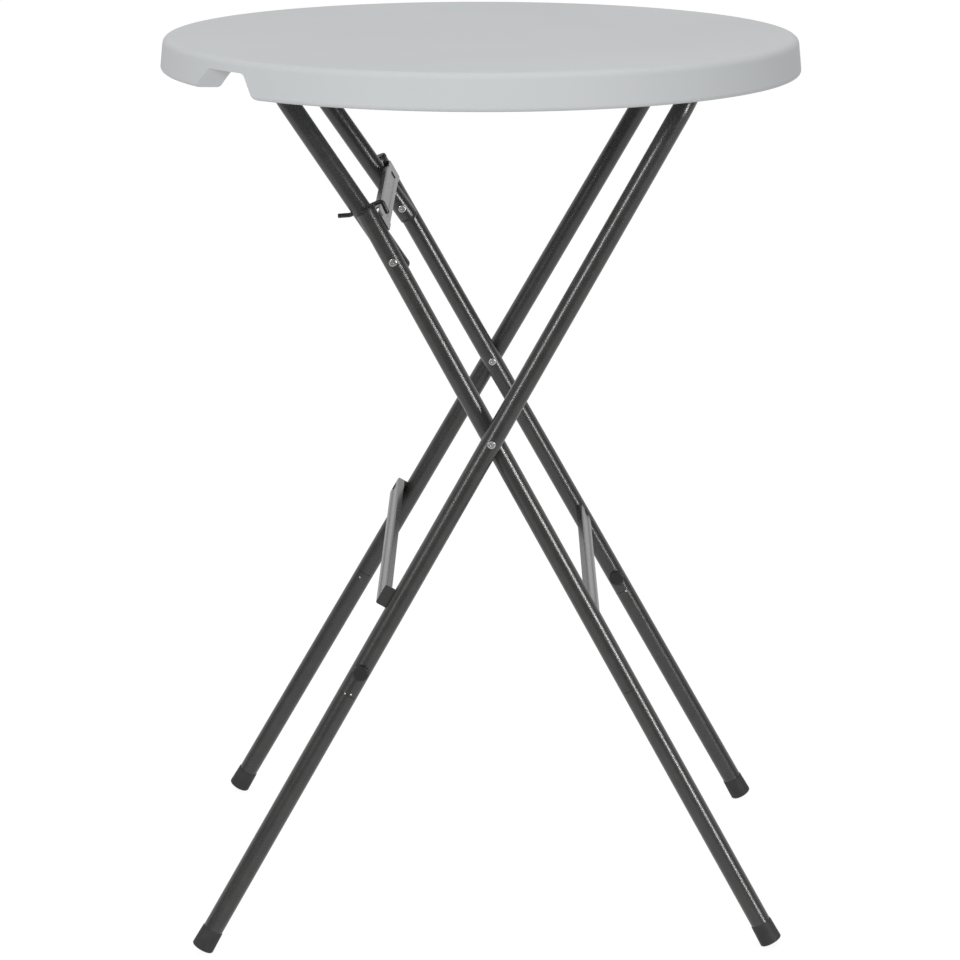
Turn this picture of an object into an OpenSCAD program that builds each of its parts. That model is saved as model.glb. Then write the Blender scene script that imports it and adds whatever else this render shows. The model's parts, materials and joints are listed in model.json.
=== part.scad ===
// Folding bar table: a moulded round top on two crossing tube frames.
// +X runs from the short link's hinge to the long frame's hinge, +Z is up.
// The origin is on the floor under the centre of the top. Millimetres.

/* [Top] */
// Diameter of the round top
top_d = 800; // [760:10:900]
// Height of the top's surface above the floor
table_h = 1100; // [1000:10:1200]
// Depth of the rim
rim_h = 45; // [42:1:60]
// Thickness of the double-walled panel
panel_t = 15; // [14:1:18]
// Width of the rim's foot
rim_w = 26; // [20:1:32]
// Radius of the rim's upper edge
rim_edge_r = 9; // [6:1:11]
// Radius of the rim's lower edge
rim_foot_r = 5; // [3:1:7]
// Slope of the rim's outer wall, in degrees
rim_draft = 4; // [0:1:6]
// Width of a leg notch at its top, from the middle of the folded legs inward
notch_in = 23; // [22:1:27]
// Width of a leg notch at its top, from the middle of the folded legs outward
notch_out = 36; // [28:1:38]
// Half width of a leg notch at its mouth
notch_mouth = 48; // [42:1:50]
// How much shallower the rim is between the two notches
notch_rise = 4.3; // [2:0.1:6]
// Diameter of the moulded dimples in the underside
dimple_d = 26; // [18:1:32]
// Depth of those dimples
dimple_depth = 7; // [4:0.5:9]

/* [Hinges] */
// Distance between the two hinge axes
hinge_span = 510; // [500:1:520]
// Shift of both hinges to the right of the top's centre
hinge_shift = 3; // [0:1:6]
// Drop from the panel's underside to the hinge axes
hinge_drop = 19; // [18:1:21]
// Half distance between the long frame's two saddles
outer_saddle_y = 150; // [120:1:160]
// Half distance between the link's two saddles
link_saddle_y = 95; // [70:1:100]
// Width of a saddle along its tube
saddle_w = 30; // [20:1:34]
// Wall of a saddle round its tube
saddle_t = 4.5; // [3:0.5:6]
// Distance from a hinge axis to its saddle screws
saddle_screw_x = 25; // [23:1:30]

/* [Frames] */
// Outer diameter of the leg tubes
tube_d = 25; // [22:0.5:26]
// Wall of the tubes
tube_wall = 1.5; // [1:0.1:2]
// Bend radius of the frames' upper corners, at the tube's centre
bend_r = 45; // [35:1:50]
// Outward slope of every leg, in degrees
splay = 4.1; // [0:0.1:6]
// Half width of the long frame at its hinge
outer_half = 226; // [220:1:235]
// Gap between neighbouring tubes at a pivot
pivot_gap = 3; // [2.5:0.1:4]
// Length of the long frame from its hinge to the crossing pivot
outer_upper = 494; // [490:1:498]
// Lean of the link from the vertical, in degrees
link_lean = 34.45; // [33:0.05:36]
// Bend between the link and the short frame when open, in degrees
elbow_bend = 5.45; // [4.5:0.05:7]
// Length of the short frame's stubs above the elbow, caps included
stub_len = 72; // [70:1:80]
// Length of the link below the elbow, plug included
link_tail = 20; // [18:1:24]

/* [Legs] */
// Distance from the crossing pivot to the long frame's leg joints
outer_joint_below = 355; // [340:1:380]
// Distance from the crossing pivot to the short frame's front leg joint
front_joint_below = 355; // [340:1:380]
// Distance from the crossing pivot to the short frame's rear leg joint
rear_joint_below = 372; // [340:1:380]
// Distance from the long frame's leg joints up to its knob screws
outer_knob_above = 33.5; // [16:0.5:44]
// Distance from the short frame's leg joints up to its knob screws
inner_knob_above = 21; // [16:0.5:44]
// Length of a lower leg's neck inside the upper tube
neck_len = 60; // [50:1:70]
// Play between the neck and the upper tube, on the radius
neck_play = 0.15; // [0.1:0.05:0.2]
// Diameter of a foot at the floor
foot_d = 28; // [27:0.5:32]
// Diameter of a foot at its mouth
foot_mouth_d = 26.6; // [26.4:0.1:27]
// Height of a foot
foot_h = 28; // [24:1:36]
// Thickness of a foot's sole
foot_sole = 5; // [3:0.5:7]
// Radius of a foot's lower edge
foot_edge_r = 2.5; // [1:0.5:3]
// Diameter of a knob
knob_d = 20; // [14:1:22]
// Height of a knob above its tube
knob_h = 5; // [4:0.5:8]
// Diameter of a knob's screw
knob_screw_d = 5; // [4:0.5:6]

/* [Braces] */
// Width of a brace along the legs
brace_w = 26; // [24:1:32]
// Thickness of the brace sheet
brace_t = 1.6; // [1.2:0.1:2]
// Depth of the shallow flanges
flange_d = 9; // [5:0.5:10]
// Distance from the crossing pivot to the long frame's brace
outer_brace_below = 227; // [220:1:260]
// Stand-off of that brace from its tubes' centre line
outer_brace_off = 26; // [25:0.5:30]
// Distance from the crossing pivot to the short frame's lower brace
inner_brace_below = 248; // [220:1:260]
// Offset of that brace's face from its tubes' centre line
inner_brace_off = 9.5; // [3:0.5:11]
// Distance from the elbow to the middle of the lock brace
lock_brace_above = 47; // [45:1:49]
// Depth of the lock brace's flanges
lock_flange_d = 9; // [7:0.5:10]

/* [Pivots and latch] */
// Diameter of the rivets
rivet_d = 8; // [6:0.5:9]
// Diameter of the rivet heads
rivet_head_d = 10; // [9.5:0.5:12]
// Height of the rivet heads
rivet_head_h = 2.2; // [1.5:0.1:3]
// Diameter of the washers
washer_d = 15; // [13:0.5:17]
// Diameter of the latch wire
wire_d = 5.5; // [4:0.5:6]
// Distance from the elbow to the latch wire
latch_above = 69; // [68:0.5:70]
// Slope of the latch wire against the link's square, in degrees
latch_tilt = 10; // [8:0.5:13]
// Reach of the latch hook past the link tube's centre
latch_reach = 27; // [26:0.1:28]
// Length of the hook's leg
hook_len = 17; // [13:0.5:18]
// Length of the latch's finger end beyond the tube
finger_len = 14; // [10:1:20]
// Radius of the wire's bends
wire_bend_r = 3.8; // [3.5:0.1:5]

/* [Hidden] */
$fn = 64;

front = -1;
rear = 1;
eps = 0.5;
arc_steps = 6;
bore_play = 0.05;
face_gap = 0.3;
seat_in = 0.3;
head_seat_in = 0.8;

tube_r = tube_d / 2;
tube_in_r = tube_r - tube_wall;
rivet_r = rivet_d / 2;
wire_r = wire_d / 2;
knob_screw_r = knob_screw_d / 2;
slope = tan(splay);
nest = tube_d + pivot_gap;

// Heights of the top
under_z = table_h - panel_t;
rim_z = table_h - rim_h;
hinge_z = under_z - hinge_drop;
rim_r = top_d / 2;
rim_lean = rim_h * tan(rim_draft);
rim_fillet = 6;
rim_lip_r = 3;

// Side view of the frames: hinges, elbow and crossing pivot
inner_lean = link_lean - elbow_bend;
link_x = hinge_shift - hinge_span / 2;
outer_x = hinge_shift + hinge_span / 2;
link_dir = [sin(link_lean), -cos(link_lean)];
inner_dir = [sin(inner_lean), -cos(inner_lean)];
// The frames fold flat when the link is longer than the elbow length by this much
link_extra = hinge_span - outer_upper;
step_dir = link_dir + inner_dir;
step_start = [-hinge_span, 0] + link_extra * link_dir;
quad_a = step_dir * step_dir;
quad_b = 2 * step_start * step_dir;
quad_c = step_start * step_start - outer_upper * outer_upper;
elbow_up = (-quad_b + sqrt(quad_b * quad_b - 4 * quad_a * quad_c)) / (2 * quad_a);
link_len = link_extra + elbow_up;
elbow_p = [link_x, hinge_z] + link_len * link_dir;
pivot_p = elbow_p + elbow_up * inner_dir;
outer_lean = atan((outer_x - pivot_p.x) / (hinge_z - pivot_p.y));

// Half widths of the frames, at a distance s along the frame
function outer_y(s) = outer_half + s * slope;
function inner_y(s) = outer_y(outer_upper + s) - nest;
function link_y(s) = inner_y(-elbow_up) - nest - (link_len - s) * slope;
function along(s) = s / cos(splay);

// Length along a leg from a height down to the floor, to the foot's lower face
foot_r = foot_d / 2;
function leg_len(z, lean) =
    let (c = cos(splay) * cos(lean), s = sqrt(1 - c * c))
    foot_edge_r + (z - foot_edge_r - (foot_r - foot_edge_r) * s) / c;
outer_leg_len = leg_len(hinge_z, outer_lean);
inner_leg_len = leg_len(pivot_p.y, inner_lean);
outer_joint = outer_upper + outer_joint_below;
outer_knob = outer_joint - outer_knob_above;
function inner_joint(side) = side == front ? front_joint_below : rear_joint_below;
function inner_knob(side) = inner_joint(side) - inner_knob_above;

// Where the folded legs cross the rim
notch_y = outer_y(outer_x + 0.75 * rim_r) - nest / 2;
notch_corner_r = 8;
notch_turn = 36;

// Recess in the underside that clears the latch when the table is folded
pocket_r = 30;
pocket_skin = 3.5;
folded_elbow_x = link_x + link_len;
pocket_p = [folded_elbow_x - latch_above + latch_reach * sin(latch_tilt), front * link_y(link_len - latch_above)];
dimple_pitch = 62;
dimple_rings = 5;
saddle_centres = [for (side = [front, rear]) each [[link_x, side * link_saddle_y], [outer_x, side * outer_saddle_y]]];

// Saddles and their screws
saddle_foot_t = 3;
saddle_foot_l = saddle_screw_x + 7;
screw_r = 2;
screw_len = 11;
screw_head_r = 4;
screw_head_h = 2.4;

stub_cap_h = 5;
plug_h = 6;
plug_fit = 0.1;
plug_depth = 8;
cap_proud = 0.4;
bend_thin = 0.05;
bend_lap = 1;
wire_lap = 5;
wire_end_r = 1;
finger_turn = 20;
fold_r = 2.4;
tab_r = 4;
groove_w = 11;
groove_depth = 1.4;
knob_flutes = 10;
flute_r = 1.6;
flute_in = 0.9;

paint = [0.27, 0.27, 0.27];
plastic_grey = [0.78, 0.79, 0.8];
plastic_black = [0.12, 0.12, 0.12];
zinc = [0.75, 0.75, 0.74];

function arc(cx, cy, r, a0, a1) =
    [for (i = [0:arc_steps]) let (a = a0 + (a1 - a0) * i / arc_steps) [cx + r * cos(a), cy + r * sin(a)]];

// Placing of each frame: local -Z runs down the frame, +Y to the rear
module place_outer() translate([outer_x, 0, hinge_z]) rotate([0, outer_lean, 0]) children();
module place_link() translate([link_x, 0, hinge_z]) rotate([0, -link_lean, 0]) children();
module place_inner() translate([pivot_p.x, 0, pivot_p.y]) rotate([0, -inner_lean, 0]) children();

// A leg's own axis: it starts at a half width and slopes outward
module on_leg(side, half) translate([0, side * half, 0]) rotate([side * splay, 0, 0]) children();

// A feature along Y at a distance s down a frame: local +Z points outward
module across(side, s, y) translate([0, side * y, -s]) rotate([-90 * side, 0, 0]) children();

// A straight round bar from z0 down to z1
module bar(z0, z1, r) translate([0, 0, -z1]) cylinder(r = r, h = z1 - z0);

module revolve(points) rotate_extrude() polygon(points);

module pipe(z0, z1) difference() {
    bar(z0, z1, tube_r);
    bar(z0 - 1, z1 + 1, tube_in_r);
}

// Solid inverted U with splayed legs, used for the outside and the inside of a bent tube.
// The bends are drawn a hair thinner than the straight lengths, and run a little way into them.
module bent_bar(half, leg_end, r) {
    turn = 90 - splay;
    tangent = bend_r * tan(turn / 2);
    rotate([-90, 0, 0]) translate([0, 0, -(half - tangent)]) cylinder(r = r, h = 2 * (half - tangent));
    for (side = [front, rear]) {
        mirror([0, side == front ? 1 : 0, 0])
            translate([0, half - tangent, -bend_r])
                rotate([90, 0, 90]) rotate([0, 0, splay - bend_lap])
                    rotate_extrude(angle = turn + 2 * bend_lap) translate([bend_r, 0]) circle(r = r - bend_thin);
        on_leg(side, half) bar(tangent, leg_end, r);
    }
}

module bent_tube(half, leg_end) difference() {
    bent_bar(half, leg_end, tube_r);
    bent_bar(half, leg_end + 1, tube_in_r);
}

// Round rivet head with a hollow middle; its flat side is at z = 0
module rivet_head() {
    r = rivet_head_d / 2;
    dome = rivet_head_h - 0.8;
    revolve(concat([[0, 0], [r, 0]], arc(r - dome, 0.8, dome, 0, 90), [[1.9, rivet_head_h], [1.5, 1.2], [0, 1.2]]));
}

module washer(h) difference() {
    cylinder(d = washer_d, h = h);
    translate([0, 0, -eps]) cylinder(r = rivet_r + bore_play, h = h + 2 * eps);
}

// Flat seats and a rivet bore across a tube whose centre is at half width y
module rivet_seats(side, s, y, outside_r, outside_in, inside_r, inside_in) {
    across(side, s, y) {
        translate([0, 0, -tube_d]) cylinder(r = rivet_r + bore_play, h = 2 * tube_d);
        translate([0, 0, tube_r - outside_in]) cylinder(r = outside_r + 0.2, h = tube_d);
        translate([0, 0, -tube_r + inside_in - tube_d]) cylinder(r = inside_r + 0.2, h = tube_d);
    }
}

module tabletop() {
    edge_x = rim_r - rim_lean - rim_edge_r;
    inner_x = rim_r - rim_w;
    profile = concat(
        [[0, table_h]],
        arc(edge_x, table_h - rim_edge_r, rim_edge_r, 90, rim_draft),
        arc(rim_r - rim_foot_r, rim_z + rim_foot_r, rim_foot_r, rim_draft, -90),
        arc(inner_x + rim_lip_r, rim_z + rim_lip_r, rim_lip_r, -90, -180),
        arc(inner_x - rim_fillet, under_z - rim_fillet, rim_fillet, 0, 90),
        [[0, under_z]]);
    color(plastic_grey) difference() {
        revolve(profile);
        for (side = [front, rear]) leg_notch(side);
        rim_relief();
        latch_pocket();
        dimples();
        saddle_screw_places() translate([0, 0, -eps]) cylinder(r = screw_r + bore_play, h = screw_len - saddle_foot_t + 2 * eps);
    }
}

// Slot through the rim for the folded legs, open downward
module leg_notch(side) {
    shape = concat([[-notch_mouth, rim_z - 5], [-notch_mouth, rim_z]],
        arc(-notch_in + notch_corner_r, under_z - notch_corner_r, notch_corner_r, 150, 90),
        arc(notch_out - notch_corner_r, under_z - notch_corner_r, notch_corner_r, 90, 15),
        [[notch_mouth, rim_z], [notch_mouth, rim_z - 5]]);
    translate([-rim_r - 10, side * notch_y, 0]) mirror([0, side == front ? 1 : 0, 0])
        rotate([90, 0, 90]) linear_extrude(rim_r / 2) polygon(shape);
}

// Takes the rim's foot back between the two notches, with rounded edges
module rim_relief() {
    foot_z = rim_z + notch_rise;
    inner_x = rim_r - rim_w;
    rotate(180 - notch_turn) rotate_extrude(angle = 2 * notch_turn) polygon(concat(
        [[rim_r + 2, rim_z - 2], [rim_r + 2, foot_z + rim_foot_r + 1]],
        arc(rim_r - notch_rise * tan(rim_draft) - rim_foot_r, foot_z + rim_foot_r, rim_foot_r, rim_draft, -90),
        arc(inner_x + rim_lip_r, foot_z + rim_lip_r, rim_lip_r, -90, -180),
        [[inner_x - 2, foot_z + rim_lip_r], [inner_x - 2, rim_z - 2]]));
}

module latch_pocket() translate([pocket_p.x, pocket_p.y, under_z - eps])
    cylinder(r = pocket_r, h = panel_t - pocket_skin + eps);

// Moulded dimples that tie the two walls of the top together, in rings on the underside
function dimple_free(p) = let (rim_gap = rim_r - rim_w - norm(p), pocket_gap = norm(p - pocket_p))
    rim_gap > dimple_d && pocket_gap > pocket_r + dimple_d
        && min([for (h = saddle_centres) norm(p - h)]) > saddle_foot_l + 0.7 * dimple_d;

module dimples() for (ring = [1:dimple_rings]) for (i = [0:6 * ring - 1]) {
    turn = 360 * (i + 0.5) / (6 * ring);
    p = ring * dimple_pitch * [cos(turn), sin(turn)];
    if (dimple_free(p)) translate([p.x, p.y, under_z - eps])
        cylinder(d1 = dimple_d, d2 = dimple_d - dimple_depth, h = dimple_depth + eps);
}

// Runs its children at the upper face of each saddle foot, over each screw
module saddle_screw_places() {
    for (hinge = [[link_x, link_saddle_y], [outer_x, outer_saddle_y]])
        for (side = [front, rear]) for (end = [-1, 1])
            translate([hinge[0] + end * saddle_screw_x, side * hinge[1], under_z]) children();
}

// A moulded saddle that holds a frame's crossbar against the underside
module saddle(x, y) {
    body_r = tube_r + saddle_t;
    color(plastic_black) translate([x, y + saddle_w / 2, 0]) rotate([90, 0, 0]) linear_extrude(saddle_w)
        difference() {
            union() {
                translate([0, hinge_z]) circle(r = body_r);
                translate([-body_r, hinge_z]) square([2 * body_r, hinge_drop]);
                translate([-saddle_foot_l, under_z - saddle_foot_t]) square([2 * saddle_foot_l, saddle_foot_t]);
            }
            translate([0, hinge_z]) circle(r = tube_r + bore_play);
        }
}

// A saddle with its two screw holes
module drilled_saddle(x, y) difference() {
    saddle(x, y);
    for (end = [-1, 1]) translate([x + end * saddle_screw_x, y, under_z - saddle_foot_t - 1])
        cylinder(r = screw_r + bore_play, h = saddle_foot_t + 2);
}

module link_saddle_front() drilled_saddle(link_x, front * link_saddle_y);
module link_saddle_rear() drilled_saddle(link_x, rear * link_saddle_y);
module outer_saddle_front() drilled_saddle(outer_x, front * outer_saddle_y);
module outer_saddle_rear() drilled_saddle(outer_x, rear * outer_saddle_y);

module saddle_screws() color(zinc) saddle_screw_places() translate([0, 0, -saddle_foot_t]) {
    cylinder(r = screw_r, h = screw_len);
    mirror([0, 0, 1]) revolve(concat([[0, 0], [screw_head_r, 0]],
        arc(screw_head_r - 1.6, screw_head_h - 1.6, 1.6, 0, 90), [[0, screw_head_h]]));
}

module outer_frame() color(paint) place_outer() difference() {
    bent_tube(outer_half, along(outer_joint));
    for (side = [front, rear]) {
        rivet_seats(side, outer_upper, outer_y(outer_upper), rivet_head_d / 2, head_seat_in, washer_d / 2, seat_in);
        knob_bore(side, 1, outer_knob, outer_y(outer_knob));
    }
}

// Section of a folded channel: web at x = 0 with a pressed groove, flanges towards +x
function channel(w, d, t, r) = concat(
    [[d, -w / 2]], arc(r, -w / 2 + r, r, 270, 180), groove(0, 1), arc(r, w / 2 - r, r, 180, 90), [[d, w / 2]],
    [[d, w / 2 - t]], arc(r, w / 2 - r, r - t, 90, 180), groove(t, -1), arc(r, -w / 2 + r, r - t, 180, 270),
    [[d, -w / 2 + t]]);
function groove(x, way) = [[x, -way * groove_w / 2], [x + groove_depth, -way * (groove_w / 2 - groove_depth)],
    [x + groove_depth, way * (groove_w / 2 - groove_depth)], [x, way * groove_w / 2]];

module channel_bar(len, depth) translate([0, len / 2, 0]) rotate([90, 0, 0])
    linear_extrude(len) polygon(channel(brace_w, depth, brace_t, fold_r));

// Tubes of a frame that a brace is fitted to
module leg_bars(half, s) for (side = [front, rear]) on_leg(side, half) bar(along(s - 2 * brace_w), along(s + 2 * brace_w), tube_r);

module outer_brace() color(paint) place_outer() {
    s = outer_upper + outer_brace_below;
    half = outer_y(s);
    difference() {
        union() {
            translate([-outer_brace_off, 0, -s]) channel_bar(2 * half, flange_d);
            for (side = [front, rear]) translate([-outer_brace_off, side * (half - brace_t / 2), -s])
                rotate([90, 0, 0]) linear_extrude(brace_t, center = true) polygon(concat(
                    arc(tab_r, -brace_w / 2 + tab_r, tab_r, 270, 180),
                    arc(tab_r, brace_w / 2 - tab_r, tab_r, 180, 90),
                    [[outer_brace_off - tube_r + 2, brace_w / 2], [outer_brace_off - tube_r + 2, -brace_w / 2]]));
        }
        leg_bars(outer_half, s);
    }
}

// Lower leg: a tube with a narrower neck that fits into the upper tube
module lower_leg(joint, leg_end) {
    neck_r = tube_in_r - neck_play;
    top = along(joint) - neck_len;
    low = leg_end - foot_sole;
    shoulder = along(joint);
    revolve([[tube_r, -low], [tube_r, -shoulder - 0.8], [tube_r - 0.8, -shoulder], [neck_r, -shoulder],
        [neck_r, -top - 1], [neck_r - 0.8, -top], [neck_r - tube_wall, -top],
        [neck_r - tube_wall, -shoulder - 2], [tube_in_r, -shoulder - 6], [tube_in_r, -low]]);
}

// A knob is outside its tube where dir is 1 and inside the frame where it is -1.
// Its bore goes through one wall of the upper tube and of the neck.
module knob_side(side, dir, s, y) across(side, s, y) mirror([0, 0, dir < 0 ? 1 : 0]) children();
module knob_bore(side, dir, s, y) knob_side(side, dir, s, y) cylinder(r = knob_screw_r + bore_play, h = tube_d);

module outer_lower_leg(side) color(paint) place_outer() difference() {
    on_leg(side, outer_half) lower_leg(outer_joint, outer_leg_len);
    knob_bore(side, 1, outer_knob, outer_y(outer_knob));
}
module outer_front_lower_leg() outer_lower_leg(front);
module outer_rear_lower_leg() outer_lower_leg(rear);

// Rubber foot, pushed over the end of a leg
module foot(leg_end) color(plastic_black) {
    mouth_r = foot_mouth_d / 2;
    bore_r = tube_r + bore_play;
    revolve(concat(
        [[0, -leg_end]],
        arc(foot_r - foot_edge_r, -leg_end + foot_edge_r, foot_edge_r, -90, 0),
        [[mouth_r, -leg_end + foot_h - 0.5], [mouth_r - 0.4, -leg_end + foot_h], [bore_r, -leg_end + foot_h],
         [bore_r, -leg_end + foot_sole], [0, -leg_end + foot_sole]]));
}
module outer_front_foot() place_outer() on_leg(front, outer_half) foot(outer_leg_len);
module outer_rear_foot() place_outer() on_leg(rear, outer_half) foot(outer_leg_len);

// Knob with its screw; the head's back is shaped to the tube
module knob(side, dir, s, y, half) color(plastic_black) difference() {
    knob_side(side, dir, s, y) {
        translate([0, 0, tube_r - 2]) revolve(concat([[0, 0], [knob_d / 2, 0]],
            arc(knob_d / 2 - 2, knob_h, 2, 0, 90), [[0, knob_h + 2]]));
        cylinder(r = knob_screw_r, h = tube_r);
    }
    difference() {
        on_leg(side, half) bar(along(s - 30), along(s + 30), tube_r);
        across(side, s, y) cylinder(r = knob_screw_r, h = 3 * tube_d, center = true);
    }
    knob_side(side, dir, s, y) for (i = [0:knob_flutes - 1])
        rotate(360 * i / knob_flutes) translate([knob_d / 2 + flute_r - flute_in, 0, tube_r - knob_h])
            cylinder(r = flute_r, h = 3 * knob_h);
}
module outer_front_knob() place_outer() knob(front, 1, outer_knob, outer_y(outer_knob), outer_half);
module outer_rear_knob() place_outer() knob(rear, 1, outer_knob, outer_y(outer_knob), outer_half);

// The crossing pivot's rivet on each frame ends at the plane between the tubes
pivot_mid = (outer_y(outer_upper) + inner_y(0)) / 2;

module outer_pivot_rivets() color(zinc) place_outer() for (side = [front, rear]) across(side, outer_upper, 0) {
    head_y = outer_y(outer_upper) + tube_r - head_seat_in;
    translate([0, 0, pivot_mid + face_gap / 2]) cylinder(r = rivet_r, h = head_y - pivot_mid);
    translate([0, 0, head_y]) rivet_head();
}

module outer_pivot_washers() color(zinc) place_outer() for (side = [front, rear])
    across(side, outer_upper, pivot_mid + face_gap / 2)
        washer(nest / 2 - tube_r + seat_in - face_gap / 2);

module link_frame() color(paint) place_link() difference() {
    bent_tube(link_y(0), along(link_len + link_tail - plug_h));
    for (side = [front, rear])
        rivet_seats(side, link_len, link_y(link_len), washer_d / 2, seat_in, rivet_head_d / 2 + 0.5, head_seat_in);
    latch_axis() rotate([0, 90, 0]) cylinder(r = wire_r + bore_play, h = 2 * tube_d, center = true);
}

module link_end_plugs() color(plastic_black) place_link() for (side = [front, rear])
    on_leg(side, link_y(0)) translate([0, 0, -along(link_len + link_tail - plug_h)]) mirror([0, 0, 1])
        end_plug(plug_h, tube_r, plug_h);

// Push-in plug: its head rests on the tube's end at z = 0
module end_plug(h, r, edge) revolve(concat(
    [[0, -plug_depth], [tube_in_r - plug_fit - 1, -plug_depth], [tube_in_r - plug_fit, -plug_depth + 2],
     [tube_in_r - plug_fit, 0], [r, 0]], arc(r - edge, h - edge, edge, 0, 90), [[0, h]]));

// The latch wire's axis where it crosses the front link tube: local +X points to the hook
module latch_axis() translate([0, front * link_y(link_len - latch_above), -(link_len - latch_above)])
    rotate([0, latch_tilt, 0]) children();

// A bend of the latch wire: it starts at the origin along +X and turns down by the angle
module wire_turn(angle) translate([0, 0, -wire_bend_r]) rotate([90, 0, 0])
    rotate([0, 0, 90 - angle - wire_lap]) rotate_extrude(angle = angle + 2 * wire_lap)
        translate([wire_bend_r, 0]) circle(r = wire_r - bend_thin, $fn = 32);

// A straight length of the wire along +X, and one with a rounded end
module wire_run(len) rotate([0, 90, 0]) cylinder(r = wire_r, h = len, $fn = 32);
module wire_end(len) rotate([0, 90, 0]) rotate_extrude($fn = 32)
    polygon(concat([[0, 0], [wire_r, 0]], arc(wire_r - wire_end_r, len - wire_end_r, wire_end_r, 0, 90), [[0, len]]));

module latch_hook() color(plastic_black) place_link() latch_axis() {
    back = -tube_r - 2.5;
    hook_x = latch_reach - wire_bend_r;
    translate([back, 0, 0]) wire_run(hook_x - back);
    translate([hook_x, 0, 0]) {
        wire_turn(90);
        translate([wire_bend_r, 0, -wire_bend_r]) rotate([0, 90, 0]) wire_end(hook_len - wire_bend_r);
    }
    translate([back, 0, 0]) mirror([1, 0, 0]) mirror([0, 0, 1]) {
        wire_turn(finger_turn);
        translate([wire_bend_r * sin(finger_turn), 0, -wire_bend_r * (1 - cos(finger_turn))])
            rotate([0, finger_turn, 0]) wire_end(finger_len);
    }
}

// Upper tube of the short frame, from its stub to the leg joint
module inner_leg(side) color(paint) place_inner() difference() {
    on_leg(side, inner_y(0)) pipe(-along(elbow_up + stub_len - stub_cap_h), along(inner_joint(side)));
    rivet_seats(side, 0, inner_y(0), washer_d / 2, seat_in, rivet_head_d / 2, head_seat_in);
    rivet_seats(side, -elbow_up, inner_y(-elbow_up), rivet_head_d / 2, head_seat_in, washer_d / 2, seat_in);
    knob_bore(side, -1, inner_knob(side), inner_y(inner_knob(side)));
}
module inner_front_leg() inner_leg(front);
module inner_rear_leg() inner_leg(rear);

// Brace on the stubs: flat tabs over both stubs, with flanges only between the link's tubes
module lock_brace() color(paint) place_inner() {
    s = -elbow_up - lock_brace_above;
    half = inner_y(s);
    clear = link_y(link_len - lock_brace_above) - tube_r - 6;
    translate([tube_r + brace_t, 0, -s]) mirror([1, 0, 0]) {
        channel_bar(2 * clear, lock_flange_d);
        for (side = [front, rear]) mirror([0, side == front ? 1 : 0, 0])
            rotate([0, 90, 0]) linear_extrude(brace_t) polygon(concat(
                arc(-brace_w / 2 + tab_r, half - tab_r, tab_r, 180, 90),
                arc(brace_w / 2 - tab_r, half - tab_r, tab_r, 90, 0),
                [[brace_w / 2, clear], [brace_w / 2 - tab_r, clear - tab_r],
                 [-brace_w / 2 + tab_r, clear - tab_r], [-brace_w / 2, clear]]));
    }
}

module inner_brace() color(paint) place_inner() difference() {
    translate([inner_brace_off, 0, -inner_brace_below]) mirror([1, 0, 0])
        channel_bar(2 * inner_y(inner_brace_below), flange_d);
    leg_bars(inner_y(0), inner_brace_below);
}

module inner_lower_leg(side) color(paint) place_inner() difference() {
    on_leg(side, inner_y(0)) lower_leg(inner_joint(side), inner_leg_len);
    knob_bore(side, -1, inner_knob(side), inner_y(inner_knob(side)));
}
module inner_front_lower_leg() inner_lower_leg(front);
module inner_rear_lower_leg() inner_lower_leg(rear);
module inner_front_foot() place_inner() on_leg(front, inner_y(0)) foot(inner_leg_len);
module inner_rear_foot() place_inner() on_leg(rear, inner_y(0)) foot(inner_leg_len);
module inner_front_knob() place_inner() knob(front, -1, inner_knob(front), inner_y(inner_knob(front)), inner_y(0));
module inner_rear_knob() place_inner() knob(rear, -1, inner_knob(rear), inner_y(inner_knob(rear)), inner_y(0));

module stub_caps() color(plastic_black) place_inner() for (side = [front, rear])
    on_leg(side, inner_y(0)) translate([0, 0, along(elbow_up + stub_len - stub_cap_h)])
        end_plug(stub_cap_h, tube_r + cap_proud, 2.5);

module elbow_rivets() color(zinc) place_inner() for (side = [front, rear]) across(side, -elbow_up, 0) {
    head_y = inner_y(-elbow_up) + tube_r - head_seat_in;
    tail_y = link_y(link_len) - tube_r + head_seat_in - face_gap;
    translate([0, 0, tail_y]) cylinder(r = rivet_r, h = head_y - tail_y);
    translate([0, 0, head_y]) rivet_head();
    translate([0, 0, tail_y]) mirror([0, 0, 1]) rivet_head();
}

module elbow_washers() color(zinc) place_inner() for (side = [front, rear])
    across(side, -elbow_up, link_y(link_len) + tube_r - seat_in + face_gap)
        washer(nest - tube_d + 2 * seat_in - face_gap);

module inner_pivot_rivets() color(zinc) place_inner() for (side = [front, rear]) across(side, 0, 0) {
    tail_y = inner_y(0) - tube_r + head_seat_in;
    translate([0, 0, tail_y]) cylinder(r = rivet_r, h = pivot_mid - face_gap / 2 - tail_y);
    translate([0, 0, tail_y]) mirror([0, 0, 1]) rivet_head();
}

module inner_pivot_washers() color(zinc) place_inner() for (side = [front, rear])
    across(side, 0, inner_y(0) + tube_r - seat_in)
        washer(nest / 2 - tube_r + seat_in - face_gap / 2);

tabletop();
link_saddle_front();
link_saddle_rear();
outer_saddle_front();
outer_saddle_rear();
saddle_screws();
outer_frame();
outer_brace();
outer_front_lower_leg();
outer_rear_lower_leg();
outer_front_foot();
outer_rear_foot();
outer_front_knob();
outer_rear_knob();
outer_pivot_rivets();
outer_pivot_washers();
link_frame();
link_end_plugs();
latch_hook();
inner_front_leg();
inner_rear_leg();
lock_brace();
inner_brace();
inner_front_lower_leg();
inner_rear_lower_leg();
inner_front_foot();
inner_rear_foot();
inner_front_knob();
inner_rear_knob();
stub_caps();
elbow_rivets();
elbow_washers();
inner_pivot_rivets();
inner_pivot_washers();
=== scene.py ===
import json
import math

import bmesh
import bpy
from mathutils import Matrix, Vector


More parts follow.
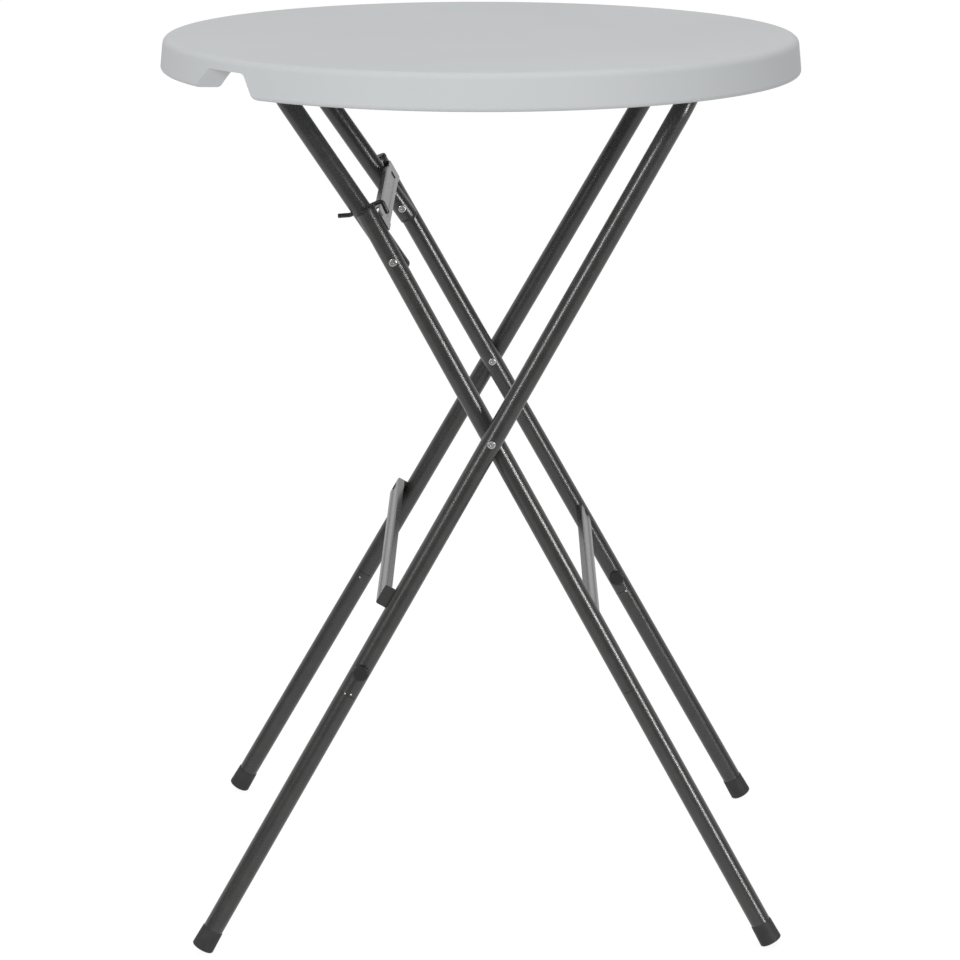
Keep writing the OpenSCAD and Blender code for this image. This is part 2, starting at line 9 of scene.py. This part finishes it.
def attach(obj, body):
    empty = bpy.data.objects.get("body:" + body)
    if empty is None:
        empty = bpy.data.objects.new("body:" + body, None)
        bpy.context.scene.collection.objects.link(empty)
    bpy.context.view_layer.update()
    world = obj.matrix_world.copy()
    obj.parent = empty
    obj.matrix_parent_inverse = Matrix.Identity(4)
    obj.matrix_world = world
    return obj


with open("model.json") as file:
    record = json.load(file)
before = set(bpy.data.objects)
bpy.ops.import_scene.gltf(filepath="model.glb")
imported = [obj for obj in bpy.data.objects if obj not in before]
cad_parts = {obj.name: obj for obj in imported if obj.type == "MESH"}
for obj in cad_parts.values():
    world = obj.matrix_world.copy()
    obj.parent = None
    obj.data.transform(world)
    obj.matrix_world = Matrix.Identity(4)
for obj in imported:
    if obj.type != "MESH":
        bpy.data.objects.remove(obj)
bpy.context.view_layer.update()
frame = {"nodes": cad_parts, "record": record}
scene = bpy.context.scene
scene.view_settings.view_transform = "Standard"
MM = 0.001


# Camera: found by fitting the rim, the leg lines and the feet in the photograph

CAMERA_AT = Vector((25.0, -4397.5, 1593.7)) * MM
CAMERA_YAW = -0.0058065
CAMERA_PITCH = 0.23814
CAMERA_ROLL = 0.0007924
CAMERA_REACH = 100.0
FOCAL_PIXELS = 3512.4
IMAGE_PIXELS = 960
SENSOR_MM = 36.0


def add_camera():
    forward = Vector((math.sin(CAMERA_YAW) * math.cos(CAMERA_PITCH),
                      math.cos(CAMERA_YAW) * math.cos(CAMERA_PITCH),
                      -math.sin(CAMERA_PITCH)))
    right = Vector((math.cos(CAMERA_YAW), -math.sin(CAMERA_YAW), 0.0))
    up = right.cross(forward)
    turned_right = right * math.cos(CAMERA_ROLL) + up * math.sin(CAMERA_ROLL)
    turned_up = up * math.cos(CAMERA_ROLL) - right * math.sin(CAMERA_ROLL)
    data = bpy.data.cameras.new("camera")
    data.sensor_width = SENSOR_MM
    data.lens = FOCAL_PIXELS / IMAGE_PIXELS * SENSOR_MM
    data.clip_end = CAMERA_REACH
    camera = bpy.data.objects.new("camera", data)
    rotation = Matrix((turned_right, turned_up, -forward)).transposed()
    camera.matrix_world = Matrix.Translation(CAMERA_AT) @ rotation.to_4x4()
    scene.collection.objects.link(camera)
    scene.camera = camera


add_camera()


# Materials: texture scales are in repeats per metre, bump heights in millimetres

NOISE_LOW = 0.3
NOISE_HIGH = 0.7
WHITE = (1.0, 1.0, 1.0)
TOP_TINT = (0.97, 1.0, 1.01)
PAINT_TINT = (0.985, 1.0, 0.96)
LATCH_TINT = (1.0, 1.0, 1.15)


class Nodes:
    """Adds shader nodes to a new material or world and links them."""

    def __init__(self, name, kind="Material"):
        store = bpy.data.worlds if kind == "World" else bpy.data.materials
        self.owner = store.new(name)
        self.owner.use_nodes = True
        self.tree = self.owner.node_tree
        self.tree.nodes.clear()
        self.output = self.add("ShaderNodeOutput" + kind)

    def add(self, kind, inputs=None, **settings):
        node = self.tree.nodes.new(kind)
        for key, value in settings.items():
            setattr(node, key, value)
        for key, value in (inputs or {}).items():
            if isinstance(value, bpy.types.NodeSocket):
                self.tree.links.new(value, node.inputs[key])
            else:
                node.inputs[key].default_value = value
        return node

    def finish(self, shader):
        self.tree.links.new(shader, self.output.inputs["Surface"])
        return self.owner

    def place(self):
        return self.add("ShaderNodeTexCoord").outputs["Object"]

    def rays(self):
        """Whether the camera sees this, and whether a reflection does."""
        path = self.add("ShaderNodeLightPath")
        return path.outputs["Is Camera Ray"], path.outputs["Is Glossy Ray"]

    def noise(self, scale, detail=3.0):
        inputs = {"Vector": self.place(), "Scale": scale, "Detail": detail}
        return self.add("ShaderNodeTexNoise", inputs).outputs["Fac"]

    def cells(self, scale):
        inputs = {"Vector": self.place(), "Scale": scale}
        return self.add("ShaderNodeTexVoronoi", inputs, feature="SMOOTH_F1").outputs["Distance"]

    def span(self, value, low, high, to_low, to_high):
        """Carries the range low to high over to the range to_low to to_high."""
        inputs = {
            "Value": value,
            "From Min": low,
            "From Max": high,
            "To Min": to_low,
            "To Max": to_high,
        }
        return self.add("ShaderNodeMapRange", inputs).outputs["Result"]

    def patches(self, scale, low, high, detail=3.0):
        return self.span(self.noise(scale, detail), NOISE_LOW, NOISE_HIGH, low, high)

    def tone(self, scale, dark, light):
        """Soft patches between two colours."""
        node = self.add("ShaderNodeMix", data_type="RGBA")
        self.tree.links.new(self.patches(scale, 0.0, 1.0), node.inputs["Factor"])
        for socket in node.inputs:
            if socket.type == "RGBA":
                socket.default_value = dark if socket.name == "A" else light
        return [socket for socket in node.outputs if socket.type == "RGBA"][0]

    def blend(self, factor, one, two):
        """One number where the factor is 0, the other where it is 1."""
        inputs = {"Factor": factor, "A": one, "B": two}
        return self.add("ShaderNodeMix", inputs).outputs["Result"]

    def math(self, operation, one, two):
        return self.add("ShaderNodeMath", {0: one, 1: two}, operation=operation).outputs[0]

    def bump(self, height, millimetres, strength, normal=None):
        inputs = {"Height": height, "Distance": millimetres * MM, "Strength": strength}
        if normal is not None:
            inputs["Normal"] = normal
        return self.add("ShaderNodeBump", inputs).outputs["Normal"]

    def surface(self, colour, normal, roughness, specular=0.5, metallic=0.0):
        inputs = {
            "Base Color": colour,
            "Normal": normal,
            "Roughness": roughness,
            "Specular IOR Level": specular,
            "Metallic": metallic,
        }
        return self.finish(self.add("ShaderNodeBsdfPrincipled", inputs).outputs["BSDF"])


def grey(level, tint=WHITE):
    """A screen level from 0 to 255 as a linear colour."""
    part = level / 255.0
    linear = part / 12.92 if part <= 0.04045 else ((part + 0.055) / 1.055) ** 2.4
    return tuple(linear * t for t in tint) + (1.0,)


def top_plastic():
    n = Nodes("top_plastic")
    colour = n.tone(3.0, grey(192, TOP_TINT), grey(197, TOP_TINT))
    grain = n.bump(n.noise(900.0, 4.0), 0.12, 0.5)
    wave = n.bump(n.noise(14.0, 1.0), 0.6, 0.25, grain)
    return n.surface(colour, wave, roughness=0.5, specular=0.2)


def frame_paint():
    n = Nodes("frame_paint")
    colour = n.tone(70.0, grey(46, PAINT_TINT), grey(54, PAINT_TINT))
    dimples = n.bump(n.cells(260.0), 0.4, 0.05)
    grain = n.bump(n.noise(1100.0, 2.0), 0.12, 0.05, dimples)
    return n.surface(colour, grain, roughness=n.patches(420.0, 0.24, 0.34), specular=0.6)


def fitting_plastic():
    n = Nodes("fitting_plastic")
    colour = n.tone(40.0, grey(28), grey(34))
    grain = n.bump(n.noise(1600.0, 2.0), 0.1, 0.5)
    return n.surface(colour, grain, roughness=0.48, specular=0.4)


def foot_rubber():
    n = Nodes("foot_rubber")
    colour = n.tone(60.0, grey(44), grey(54))
    grain = n.bump(n.noise(1200.0, 3.0), 0.15, 0.6)
    return n.surface(colour, grain, roughness=0.62, specular=0.35)


def latch_paint():
    n = Nodes("latch_paint")
    colour = n.tone(90.0, grey(30, LATCH_TINT), grey(38, LATCH_TINT))
    grain = n.bump(n.noise(700.0, 2.0), 0.1, 0.4)
    return n.surface(colour, grain, roughness=0.36)


def zinc():
    n = Nodes("zinc")
    colour = n.tone(260.0, grey(190), grey(216))
    grain = n.bump(n.noise(900.0, 2.0), 0.1, 0.4)
    roughness = n.patches(500.0, 0.26, 0.42, detail=2.0)
    return n.surface(colour, grain, roughness, metallic=1.0)


MATERIALS = {make.__name__: make() for make in
             (top_plastic, frame_paint, fitting_plastic, foot_rubber, latch_paint, zinc)}


def paint_nodes():
    for part in frame["record"]["subparts"]:
        for slot in frame["nodes"][part["node"]].material_slots:
            slot.material = MATERIALS[part["material_slot"]]


paint_nodes()


# The strip lamps shine in all but the top, which they would burn out in a view from behind

STRIP_LIT = bpy.data.collections.new("strip_lit")
for node, obj in frame["nodes"].items():
    if node != "tabletop":
        STRIP_LIT.objects.link(obj)


# Painted highlights at the leg joints: small bright zinc domes that stand in for glints, each a
# body and the pixel where the photograph has it

GLINT_R = 1.3 * MM
GLINT_FLAT = 0.45
GLINT_SPLITS = 3
GLINT_PIXELS = (
    ("outer", 345.0, 693.6),
    ("outer", 351.0, 694.6),
    ("outer", 360.0, 577.2),
    ("inner", 625.8, 590.8),
)


def seen_at(px, py):
    """The point of the table, and its normal, that the camera sees at one pixel."""
    half = IMAGE_PIXELS / 2
    ray = Vector((px - half, half - py, -FOCAL_PIXELS)).normalized()
    aim = scene.camera.matrix_world.to_3x3() @ ray
    layers = bpy.context.evaluated_depsgraph_get()
    _, at, normal, *_ = scene.ray_cast(layers, CAMERA_AT, aim)
    return at, normal


def add_glint(number, body, px, py):
    at, normal = seen_at(px, py)
    turn = normal.to_track_quat("Z", "Y").to_matrix().to_4x4()
    build = bmesh.new()
    bmesh.ops.create_icosphere(build, subdivisions=GLINT_SPLITS, radius=GLINT_R)
    bmesh.ops.scale(build, vec=(1.0, 1.0, GLINT_FLAT), verts=build.verts)
    bmesh.ops.transform(build, matrix=Matrix.Translation(at) @ turn, verts=build.verts)
    mesh = bpy.data.meshes.new("joint_glint_%d" % number)
    build.to_mesh(mesh)
    build.free()
    # Painted highlight: the bright zinc dome stands in for a glint at the joint
    mesh.materials.append(MATERIALS["zinc"])
    glint = bpy.data.objects.new(mesh.name, mesh)
    scene.collection.objects.link(glint)
    STRIP_LIT.objects.link(glint)
    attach(glint, body)


for number, glint in enumerate(GLINT_PIXELS):
    add_glint(number, *glint)


# Floor and world: reflections see white paper behind the table and a dim room in front of it

FLOOR_HALF = 30.0
FLOOR_MATT = (0.8, 0.8, 0.8, 1.0)
FLOOR_GLOW = 1.12
FLOOR_SHARE = 0.82
DIM_FLOOR_Y = -2.6
WHITE_FLOOR_Y = -1.1
PAPER_SHINE = 0.9
ROOM_SHINE = 0.14
LEFT_ROOM_SHINE = 0.26
RIGHT_ROOM_SHINE = 0.1
ROOM_HALF = 0.5
DIM_WORLD_Y = -0.1
WHITE_WORLD_Y = 0.3
WORLD_DIFFUSE = 0.6


def floor_paper():
    n = Nodes("floor")
    camera_ray, glossy_ray = n.rays()
    depth = n.add("ShaderNodeSeparateXYZ", {0: n.place()}).outputs["Y"]
    mirrored = n.span(depth, DIM_FLOOR_Y, WHITE_FLOOR_Y, ROOM_SHINE, PAPER_SHINE)
    seen = n.math("MULTIPLY", camera_ray, FLOOR_GLOW)
    strength = n.math("ADD", seen, n.math("MULTIPLY", glossy_ray, mirrored))
    share = n.math("ADD", n.math("MULTIPLY", camera_ray, FLOOR_SHARE), glossy_ray)
    matt = n.add("ShaderNodeBsdfDiffuse", {"Color": FLOOR_MATT}).outputs[0]
    glow = n.add("ShaderNodeEmission", {"Strength": strength}).outputs[0]
    above = n.add("ShaderNodeMixShader", {0: share, 1: matt, 2: glow}).outputs[0]
    from_below = n.add("ShaderNodeNewGeometry").outputs["Backfacing"]
    clear = n.add("ShaderNodeBsdfTransparent").outputs[0]
    return n.finish(n.add("ShaderNodeMixShader", {0: from_below, 1: above, 2: clear}).outputs[0])


def add_floor():
    h = FLOOR_HALF
    mesh = bpy.data.meshes.new("floor")
    mesh.from_pydata([(-h, -h, 0), (h, -h, 0), (h, h, 0), (-h, h, 0)], [], [(0, 1, 2, 3)])
    mesh.materials.append(floor_paper())
    floor = bpy.data.objects.new("floor", mesh)
    scene.collection.objects.link(floor)


def add_world():
    n = Nodes("studio", "World")
    camera_ray, glossy_ray = n.rays()
    way = n.add("ShaderNodeTexCoord").outputs["Generated"]
    parts = n.add("ShaderNodeSeparateXYZ", {0: way}).outputs
    room = n.span(parts["X"], -ROOM_HALF, ROOM_HALF, LEFT_ROOM_SHINE, RIGHT_ROOM_SHINE)
    mirrored = n.span(parts["Y"], DIM_WORLD_Y, WHITE_WORLD_Y, room, PAPER_SHINE)
    strength = n.blend(camera_ray, n.blend(glossy_ray, WORLD_DIFFUSE, mirrored), 1.0)
    sky = n.add("ShaderNodeBackground", {"Color": WHITE + (1.0,), "Strength": strength})
    scene.world = n.finish(sky.outputs[0])


add_floor()
add_world()


# Lamps: the strips give the lines along the tubes, the other two light the table


def add_lamp(name, at, aim, size, power, lights=True, shines=True):
    data = bpy.data.lights.new(name, "AREA")
    data.shape = "RECTANGLE"
    data.size, data.size_y = size
    data.energy = power
    lamp = bpy.data.objects.new(name, data)
    lamp.location = at
    lamp.rotation_euler = (Vector(aim) - Vector(at)).to_track_quat("-Z", "Y").to_euler()
    lamp.visible_camera = False
    lamp.visible_diffuse = lights
    lamp.visible_glossy = shines
    if not lights:
        lamp.light_linking.receiver_collection = STRIP_LIT
    scene.collection.objects.link(lamp)


add_lamp("right_strip", at=(2.75, -2.45, 1.35), aim=(0.0, 0.0, 0.8), size=(0.42, 1.8),
         power=88.0, lights=False)
add_lamp("left_strip", at=(-2.15, -3.05, 2.05), aim=(0.0, 0.0, 0.9), size=(0.5, 0.7),
         power=38.0, lights=False)
add_lamp("overhead", at=(0.3, -0.6, 4.4), aim=(0.0, 0.0, 1.0), size=(2.6, 2.6), power=31.0)
add_lamp("front_fill", at=(-1.2, -5.2, 2.8), aim=(0.0, 0.0, 0.8), size=(3.0, 1.5),
         power=126.0, shines=False)
